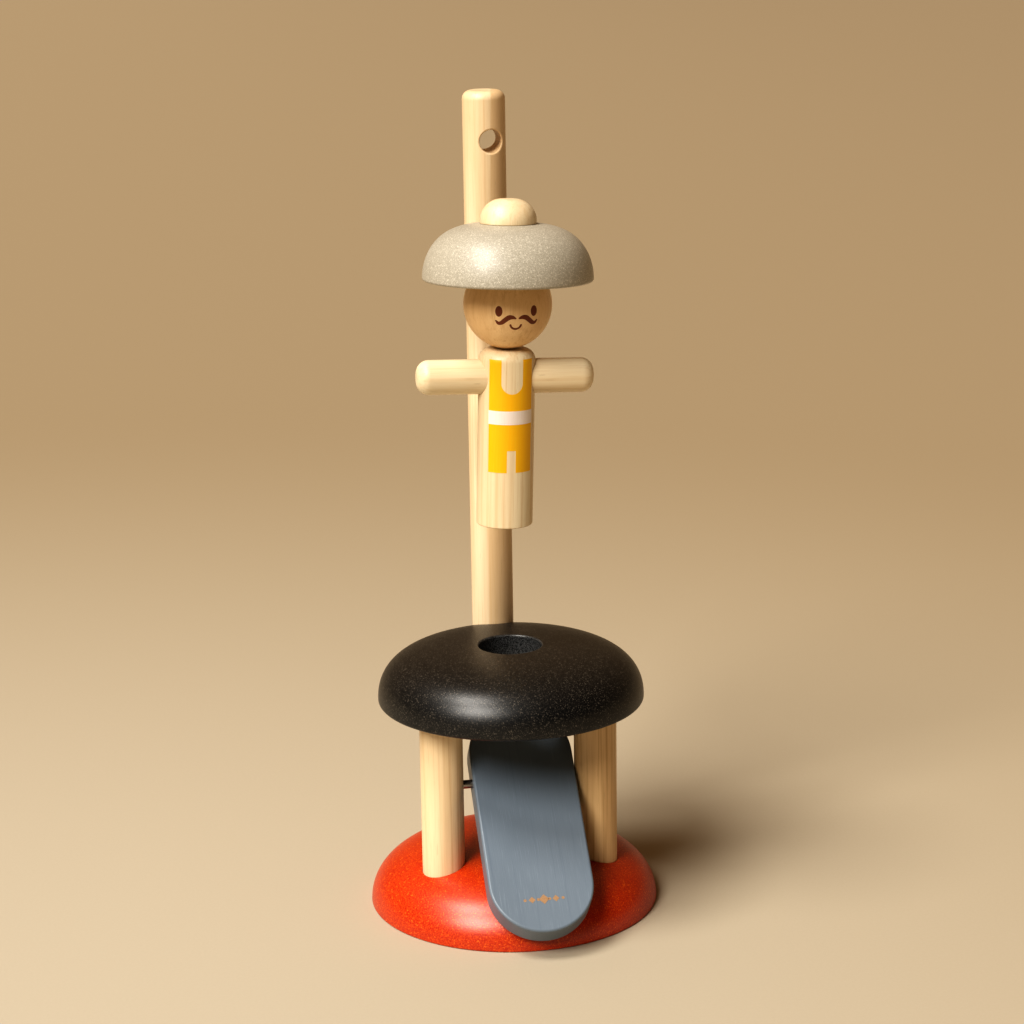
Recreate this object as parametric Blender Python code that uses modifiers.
"""A tabletop springboard toy.

A slate-blue lever seesaws on a steel axle between two legs. Its short rear end lies under a drilled
dome, and throws a turned wooden acrobat up past a tall pole when the long front end is slapped down.
"""

from math import asin, cos, pi, radians, sin, sqrt

import bmesh
import bpy

# ---------------------------------------------------------------------------------------------------
# Driving dimensions, in metres. The origin is on the table, straight under the dome's hole. +Z is up
# and the lever's long end points to the front, -Y.
# ---------------------------------------------------------------------------------------------------

GAP = 0.0003                  # room between two pieces that meet
PROUD = 0.0010                # how far a cutter runs past the face that it cuts
MERGE = 0.00001               # points closer than this are one
DOWEL = 0.0100                # radius of the legs and the pole
BROKEN_EDGE = 0.0006          # on the ends of dowels and on the heads of screws

BASE_RADIUS = 0.0683
BASE_HEIGHT = 0.0284
BASE_SIDE_POWER = 3.37        # how square the outline is at the side
BASE_TOP_POWER = 2.10         # how square it is at the top

DOME_RADIUS = 0.0626
DOME_LOW = 0.0995             # underside
DOME_HEIGHT = 0.0264
DOME_SIDE_POWER = 4.08
DOME_TOP_POWER = 2.25
DOME_EDGE = 0.0016            # rounding of the lower edge
HOLE_RADIUS = 0.01475         # the acrobat stands in this hole
HOLE_EDGE = 0.0010

LEG_X = 0.0365
LEG_Y = -0.01845
POLE_Y = 0.0483
POLE_TOP = 0.3795
POLE_ROUNDING = 0.0040
POLE_HOLE_RADIUS = 0.0054
POLE_HOLE_Z = 0.3566
POLE_HOLE_SHIFT = 0.0014      # the hole is drilled a little to the right of the pole's middle
POLE_TURN = radians(2.5)      # the pole is glued in a little off square
SEAT_LOW = 0.0100             # floor of the three sockets in the base
SEAT_HIGH = 0.1100            # roof of the two leg sockets in the dome
SUPPORTS = ((-LEG_X, LEG_Y, "left"), (LEG_X, LEG_Y, "right"), (0.0, POLE_Y, "pole"))

AXLE_RADIUS = 0.0020
AXLE_Z = 0.0648
AXLE_HALF = 0.0415
AXLE_EDGE = 0.0003

LEVER_SLOPE = radians(43.1)   # front end down, on its stop
LEVER_FRONT = 0.0794          # pin to the front tip, along the board
LEVER_REAR = 0.0360           # pin to the rear tip
LEVER_HALF_WIDTH = 0.0243
LEVER_THICKNESS = 0.0115
LEVER_EDGE = 0.0012
LEVER_SHIFT = 0.0018          # the board sits a little to the right on its axle

SCREW_HEAD_RADIUS = 0.0040
SCREW_SHANK_RADIUS = 0.0020
SCREW_HEAD_LOW = 0.0006
SCREW_HEAD_THICKNESS = 0.0026
SCREW_TIP = 0.0285
SCREW_POINT = 0.0040          # length of the taper at the tip
SCREW_SLOT_WIDTH = 0.0009     # the cross recess
SCREW_SLOT_LENGTH = 0.0046

FOOT = (-0.0020, -0.0013, 0.1855)    # centre of the acrobat's foot
LEAN = radians(1.8)                  # the acrobat leans to the right as it flies
HAT_TILT = radians(3)                # the hat is glued on tilted back about the middle of the head
BODY_RADIUS = 0.0130
BODY_HEIGHT = 0.0820
BODY_SHOULDER = 0.0050
ARM_RADIUS = 0.0080
ARM_SIDES = (("left", -1), ("right", 1))
ARM_REACH = {"left": 0.0417, "right": 0.0401}          # from the body's axis to each arm's tip
ARM_ROUNDING = 0.0058
ARM_SOCKET = 0.0055           # distance of each socket's floor from the body's axis
ARM_LEVEL = 0.0690            # heights on the acrobat are counted from its foot
HEAD_RADIUS = 0.0203
HEAD_LEVEL = 0.1023
NECK_RADIUS = 0.0030
NECK_LOW = 0.0665
NECK_HIGH = 0.0960
HAT_RADIUS = 0.0389
HAT_LOW = 0.1130
HAT_TOP = 0.1390
HAT_EDGE = 0.0013             # rounding of the brim
HAT_SIDE_POWER = 3.60
HAT_TOP_POWER = 1.92
HAT_DISH = 0.0022             # how far the underside is hollowed
KNOB_RADIUS = 0.0129
KNOB_TOP = 0.1499
KNOB_ROUNDING = 0.0100
STEM_RADIUS = 0.0040
STEM_LOW = 0.1085

FINE = 48                     # sides of the large turned pieces
MEDIUM = 32                   # sides of the dowels
COARSE = 16                   # sides of the bores and the screws
OUTLINE = 11                  # points on the outline of a dome


# ---------------------------------------------------------------------------------------------------
# Scene, materials and basic shapes
# ---------------------------------------------------------------------------------------------------

def clear_scene():
    for item in list(bpy.data.objects):
        bpy.data.objects.remove(item, do_unlink=True)


def new_collection(name):
    group = bpy.data.collections.new(name)
    bpy.context.scene.collection.children.link(group)
    return group


def paint(name, colour, roughness, metallic=0.0):
    """A plain finish."""
    finish = bpy.data.materials.new(name)
    finish.use_nodes = True
    shader = finish.node_tree.nodes["Principled BSDF"]
    shader.inputs["Base Color"].default_value = (*colour, 1.0)
    shader.inputs["Roughness"].default_value = roughness
    shader.inputs["Metallic"].default_value = metallic
    return finish


def turned(name, profile, group, finish=None, sides=MEDIUM, ring=False):
    """Turn a profile of (radius, height) points about Z.

    The points run down the outer side. A ring's profile then comes back up the bore and closes.
    """
    mesh = bpy.data.meshes.new(name)
    shape = bmesh.new()
    corners = [shape.verts.new((radius, 0.0, height)) for radius, height in profile]
    for upper, lower in zip(corners, corners[1:]):
        shape.edges.new((upper, lower))
    if ring:
        shape.edges.new((corners[-1], corners[0]))
    shape.to_mesh(mesh)
    shape.free()
    piece = bpy.data.objects.new(name, mesh)
    group.objects.link(piece)
    lathe = piece.modifiers.new("lathe", 'SCREW')
    lathe.steps = sides
    lathe.render_steps = sides
    lathe.use_merge_vertices = True
    lathe.merge_threshold = MERGE
    lathe.use_smooth_shade = True
    if finish:
        mesh.materials.append(finish)
    return piece


def arc(centre, radius, start, end, count):
    """Points on an arc of the profile plane, from one angle to another."""
    steps = [start + (end - start) * i / (count - 1) for i in range(count)]
    return [(centre[0] + radius * cos(t), centre[1] + radius * sin(t)) for t in steps]


def dowel(name, radius, low, high, group, finish, rounding=BROKEN_EDGE, sides=MEDIUM):
    """A round stick along Z with its top edge rounded and its lower edge broken."""
    steps = 3 if rounding == BROKEN_EDGE else 7
    top = arc((radius - rounding, high - rounding), rounding, pi / 2, 0, steps)
    profile = [(0, high), *top, (radius, low + BROKEN_EDGE), (radius - BROKEN_EDGE, low), (0, low)]
    return turned(name, profile, group, finish, sides)


def swelling(radius, low, height, side_power, top_power, inner, count):
    """A dome's outline, from the radius inner out and down to its widest ring."""
    points = []
    for i in range(count):
        r = inner + (radius - inner) * sin(pi / 2 * i / (count - 1))
        left = max(0.0, 1 - (r / radius) ** side_power)
        points.append((r, low + height * left ** (1 / top_power)))
    return points


def make_cutter(item):
    item.hide_render = True
    item.display_type = 'WIRE'
    return item


def drill(name, radius, length, place, direction, sides=COARSE):
    """A cutter for a bore: a cylinder centred on place along X, Y or Z."""
    mesh = bpy.data.meshes.new(name)
    shape = bmesh.new()
    bmesh.ops.create_cone(shape, cap_ends=True, segments=sides, radius1=radius, radius2=radius, depth=length)
    shape.to_mesh(mesh)
    shape.free()
    item = bpy.data.objects.new(name, mesh)
    cutters.objects.link(item)
    item.location = place
    item.rotation_euler = {"X": (0, pi / 2, 0), "Y": (pi / 2, 0, 0), "Z": (0, 0, 0)}[direction]
    return make_cutter(item)


def cut(piece, cutter):
    difference = piece.modifiers.new("cut_" + cutter.name, 'BOOLEAN')
    difference.operation = 'DIFFERENCE'
    difference.solver = 'EXACT'
    difference.object = cutter


# ---------------------------------------------------------------------------------------------------
# The stand
# ---------------------------------------------------------------------------------------------------

def build_base():
    """The red foot: a low dome with three sockets, each screwed from underneath."""
    top = swelling(BASE_RADIUS, 0, BASE_HEIGHT, BASE_SIDE_POWER, BASE_TOP_POWER, 0, OUTLINE)
    base = turned("base", [*top, (0, 0)], toy, paint("red_stain", (0.60, 0.045, 0.010), 0.42), FINE)
    socket = DOWEL + GAP
    hole = SCREW_SHANK_RADIUS + GAP
    counterbore = SCREW_HEAD_RADIUS + GAP
    shelf = SCREW_HEAD_LOW + SCREW_HEAD_THICKNESS + GAP
    above = 2 * BASE_HEIGHT
    stepped = [(0, above), (socket, above), (socket, SEAT_LOW), (hole, SEAT_LOW), (hole, shelf),
               (counterbore, shelf), (counterbore, -PROUD), (0, -PROUD)]
    for x, y, side in SUPPORTS:
        cutter = make_cutter(turned("socket_cutter_" + side, stepped, cutters, sides=MEDIUM))
        cutter.location = (x, y, 0)
        cut(base, cutter)


def build_dome():
    """The black dome over the lever, drilled for the acrobat, the legs and the pole."""
    low = DOME_LOW + DOME_EDGE
    outline = swelling(DOME_RADIUS, low, DOME_HEIGHT - DOME_EDGE, DOME_SIDE_POWER, DOME_TOP_POWER,
                       HOLE_RADIUS + HOLE_EDGE, OUTLINE)
    rim = arc((DOME_RADIUS - DOME_EDGE, low), DOME_EDGE, 0, -pi / 2, 3)[1:]
    lip_low = (HOLE_RADIUS + HOLE_EDGE, DOME_LOW)
    top = outline[0][1]
    lip_high = arc((HOLE_RADIUS + HOLE_EDGE, top - HOLE_EDGE), HOLE_EDGE, pi, pi / 2, 3)[:-1]
    profile = [*outline, *rim, lip_low, (HOLE_RADIUS, DOME_LOW + HOLE_EDGE), *lip_high]
    finish = paint("black_stain", (0.016, 0.014, 0.013), 0.38)
    dome = turned("dome", profile, toy, finish, FINE, ring=True)
    for x, y, side in SUPPORTS:
        roof = SEAT_HIGH if side != "pole" else 2 * DOME_LOW
        floor = DOME_LOW - DOWEL
        place = (x, y, (roof + floor) / 2)
        cut(dome, drill("dome_cutter_" + side, DOWEL + GAP, roof - floor, place, "Z", MEDIUM))


def build_supports():
    """Two legs that carry the axle, and the tall pole behind them."""
    wood = paint("pale_wood", (0.80, 0.58, 0.33), 0.5)
    for x, y, side in SUPPORTS:
        if side == "pole":
            stick = dowel("pole", DOWEL, SEAT_LOW + GAP, POLE_TOP, toy, wood, POLE_ROUNDING)
            place = (x + POLE_HOLE_SHIFT * cos(POLE_TURN), y + POLE_HOLE_SHIFT * sin(POLE_TURN), POLE_HOLE_Z)
            hole = drill("pole_hole_cutter", POLE_HOLE_RADIUS, 4 * DOWEL, place, "Y", MEDIUM)
            hole.rotation_euler.z = POLE_TURN
        else:
            stick = dowel("leg_" + side, DOWEL, SEAT_LOW + GAP, SEAT_HIGH - GAP, toy, wood)
            depth = AXLE_HALF + GAP
            place = ((depth if x > 0 else -depth) / 2, LEG_Y, AXLE_Z)
            hole = drill("axle_cutter_" + side, AXLE_RADIUS + GAP, depth, place, "X", COARSE)
        stick.location = (x, y, 0)
        cut(stick, hole)
        depth = SCREW_TIP + GAP
        cut(stick, drill("pilot_cutter_" + side, SCREW_SHANK_RADIUS + GAP, depth, (x, y, depth / 2), "Z"))


def build_screws():
    """A wood screw up into each leg and into the pole, sunk in the base."""
    steel = paint("screw_steel", (0.55, 0.54, 0.52), 0.35, 1.0)
    head_high = SCREW_HEAD_LOW + SCREW_HEAD_THICKNESS
    profile = [(0, SCREW_TIP), (SCREW_SHANK_RADIUS, SCREW_TIP - SCREW_POINT), (SCREW_SHANK_RADIUS, head_high),
               (SCREW_HEAD_RADIUS, head_high), (SCREW_HEAD_RADIUS, SCREW_HEAD_LOW + BROKEN_EDGE),
               (SCREW_HEAD_RADIUS - BROKEN_EDGE, SCREW_HEAD_LOW), (0, SCREW_HEAD_LOW)]
    for x, y, side in SUPPORTS:
        name = "screw_pole" if side == "pole" else "screw_leg_" + side
        screw = turned(name, profile, toy, steel, COARSE)
        screw.location = (x, y, 0)
        for turn in (0, pi / 2):
            shape = bmesh.new()
            bmesh.ops.create_cube(shape, size=1.0)
            size = (SCREW_SLOT_LENGTH, SCREW_SLOT_WIDTH, SCREW_HEAD_THICKNESS)
            bmesh.ops.scale(shape, vec=size, verts=shape.verts)
            mesh = bpy.data.meshes.new("slot_cutter")
            shape.to_mesh(mesh)
            shape.free()
            slot = bpy.data.objects.new("slot_cutter_%s_%d" % (side, 1 if turn else 0), mesh)
            cutters.objects.link(slot)
            slot.location = (x, y, SCREW_HEAD_LOW)
            slot.rotation_euler = (0, 0, turn)
            cut(screw, make_cutter(slot))


def build_axle():
    """The steel pin through the lever, blind in both legs."""
    narrow = AXLE_RADIUS - AXLE_EDGE
    profile = [(0, AXLE_HALF), (narrow, AXLE_HALF), (AXLE_RADIUS, AXLE_HALF - AXLE_EDGE),
               (AXLE_RADIUS, AXLE_EDGE - AXLE_HALF), (narrow, -AXLE_HALF), (0, -AXLE_HALF)]
    axle = turned("axle", profile, toy, paint("bright_steel", (0.62, 0.61, 0.60), 0.25, 1.0), COARSE)
    axle.location = (0, LEG_Y, AXLE_Z)
    axle.rotation_euler = (0, pi / 2, 0)


# ---------------------------------------------------------------------------------------------------
# The lever
# ---------------------------------------------------------------------------------------------------

def build_lever():
    """A board with two round ends, as a flat outline with softened edges, turned down at the front."""
    outline = bpy.data.curves.new("lever_outline", 'CURVE')
    outline.dimensions = '2D'
    outline.fill_mode = 'BOTH'
    outline.extrude = LEVER_THICKNESS / 2 - LEVER_EDGE
    outline.bevel_depth = LEVER_EDGE
    outline.bevel_resolution = 2
    outline.offset = -LEVER_EDGE
    ends = ((LEVER_REAR - LEVER_HALF_WIDTH, 0), (LEVER_HALF_WIDTH - LEVER_FRONT, pi))
    points = []
    for centre, start in ends:
        points += arc((LEVER_SHIFT, centre), LEVER_HALF_WIDTH, start, start + pi, 19)
    line = outline.splines.new('POLY')
    line.points.add(len(points) - 1)
    for point, (x, y) in zip(line.points, points):
        point.co = (x, y, 0, 1)
    line.use_cyclic_u = True
    drawn = bpy.data.objects.new("lever_outline", outline)
    toy.objects.link(drawn)
    drawn.location = (0, LEG_Y, AXLE_Z)
    drawn.rotation_euler = (LEVER_SLOPE, 0, 0)
    bpy.context.view_layer.update()
    mesh = bpy.data.meshes.new_from_object(drawn.evaluated_get(bpy.context.evaluated_depsgraph_get()))
    shape = bmesh.new()
    shape.from_mesh(mesh)
    bmesh.ops.remove_doubles(shape, verts=shape.verts, dist=MERGE)
    bmesh.ops.recalc_face_normals(shape, faces=shape.faces)
    shape.to_mesh(mesh)
    shape.free()
    mesh.name = "lever"
    mesh.materials.clear()
    mesh.materials.append(paint("slate_stain", (0.165, 0.205, 0.245), 0.45))
    lever = bpy.data.objects.new("lever", mesh)
    toy.objects.link(lever)
    lever.matrix_world = drawn.matrix_world
    bpy.data.objects.remove(drawn, do_unlink=True)
    place = (LEVER_SHIFT, LEG_Y, AXLE_Z)
    cut(lever, drill("lever_bore_cutter", AXLE_RADIUS + GAP, 3 * LEVER_HALF_WIDTH, place, "X", COARSE))


# ---------------------------------------------------------------------------------------------------
# The acrobat, upright about its own foot and hung from one leaning empty. The hat and its knob hang
# from a second empty in the middle of the head.
# ---------------------------------------------------------------------------------------------------

def build_acrobat():
    flight = bpy.data.objects.new("acrobat_flight", None)
    toy.objects.link(flight)
    flight.location = FOOT
    flight.rotation_euler = (0, LEAN, 0)
    tilt = bpy.data.objects.new("hat_tilt", None)
    toy.objects.link(tilt)
    tilt.parent = flight
    tilt.location = (0, 0, HEAD_LEVEL)
    tilt.rotation_euler = (-HAT_TILT, 0, 0)
    wood = paint("figure_wood", (0.82, 0.62, 0.38), 0.5)
    upright = [build_body(wood), *build_arms(wood), build_neck(wood), build_head(wood)]
    tilted = [build_hat(), build_knob(wood)]
    upright += [item for item in cutters.objects if item.name.startswith("figure_")]
    tilted += [item for item in cutters.objects if item.name.startswith("hat_")]
    for item in upright:
        item.parent = flight
    for item in tilted:
        item.parent = tilt
        item.location.z -= HEAD_LEVEL


def build_body(wood):
    """The trunk and legs in one round stick, with side sockets for the arms and a bore for the neck."""
    body = dowel("acrobat_body", BODY_RADIUS, 0, BODY_HEIGHT, toy, wood, BODY_SHOULDER)
    depth = 2 * BODY_RADIUS - ARM_SOCKET
    for side, sign in ARM_SIDES:
        place = (sign * (ARM_SOCKET + depth / 2), 0, ARM_LEVEL)
        cut(body, drill("figure_arm_cutter_" + side, ARM_RADIUS + GAP, depth, place, "X", MEDIUM))
    depth = BODY_HEIGHT - NECK_LOW + GAP
    cut(body, drill("figure_body_neck_cutter", NECK_RADIUS + GAP, 2 * depth, (0, 0, BODY_HEIGHT), "Z"))
    return body


def build_arms(wood):
    arms = []
    for side, sign in ARM_SIDES:
        arm = dowel("arm_" + side, ARM_RADIUS, ARM_SOCKET + GAP, ARM_REACH[side], toy, wood, ARM_ROUNDING)
        arm.location = (0, 0, ARM_LEVEL)
        arm.rotation_euler = (0, sign * pi / 2, 0)
        arms.append(arm)
    return arms


def build_neck(wood):
    """The hidden dowel that joins the head to the body."""
    return dowel("neck_dowel", NECK_RADIUS, NECK_LOW, NECK_HIGH, toy, wood, sides=COARSE)


def build_head(wood):
    """A wooden ball, flattened a little where it meets the body, bored below and above."""
    flat = BODY_HEIGHT + 2 * GAP
    low_angle = -asin((HEAD_LEVEL - flat) / HEAD_RADIUS)
    ball = arc((0, HEAD_LEVEL), HEAD_RADIUS, pi / 2, low_angle, 13)
    head = turned("head", [(0, HEAD_LEVEL + HEAD_RADIUS), *ball[1:], (0, flat)], toy, wood, MEDIUM)
    depth = NECK_HIGH + GAP - flat
    cut(head, drill("figure_head_neck_cutter", NECK_RADIUS + GAP, 2 * depth, (0, 0, flat), "Z"))
    top = HEAD_LEVEL + HEAD_RADIUS
    depth = top - STEM_LOW + GAP
    cut(head, drill("hat_stem_cutter", STEM_RADIUS + GAP, 2 * depth, (0, 0, top), "Z"))
    return head


def build_hat():
    """A thick round cap seated on the ball of the head, with a bore for the knob's stem."""
    bore = STEM_RADIUS + GAP
    seat = HEAD_RADIUS + GAP
    widest = HAT_LOW + HAT_EDGE
    outline = swelling(HAT_RADIUS, widest, HAT_TOP - widest, HAT_SIDE_POWER, HAT_TOP_POWER, bore, OUTLINE)
    brim = arc((HAT_RADIUS - HAT_EDGE, widest), HAT_EDGE, 0, -pi / 2, 4)[1:]
    under = HAT_LOW + HAT_DISH
    lip_angle = asin((under - HEAD_LEVEL) / seat)
    bore_angle = asin(sqrt(seat ** 2 - bore ** 2) / seat)
    hollow = arc((0, HEAD_LEVEL), seat, lip_angle, bore_angle, 5)
    finish = paint("grey_wood", (0.43, 0.41, 0.37), 0.4)
    return turned("hat", [*outline, *brim, *hollow], toy, finish, FINE, ring=True)


def build_knob(wood):
    """The rounded knob on the hat, turned in one with the stem that pins the hat to the head."""
    low = HAT_TOP + GAP
    cap = arc((KNOB_RADIUS - KNOB_ROUNDING, KNOB_TOP - KNOB_ROUNDING), KNOB_ROUNDING, pi / 2, 0, 8)
    profile = [(0, KNOB_TOP), *cap, (KNOB_RADIUS, low), (STEM_RADIUS, low), (STEM_RADIUS, STEM_LOW),
               (0, STEM_LOW)]
    return turned("hat_knob", profile, toy, wood, MEDIUM)


clear_scene()
toy = new_collection("springboard_acrobat")
cutters = new_collection("cutters")
build_base()
build_dome()
build_supports()
build_screws()
build_axle()
build_lever()
build_acrobat()
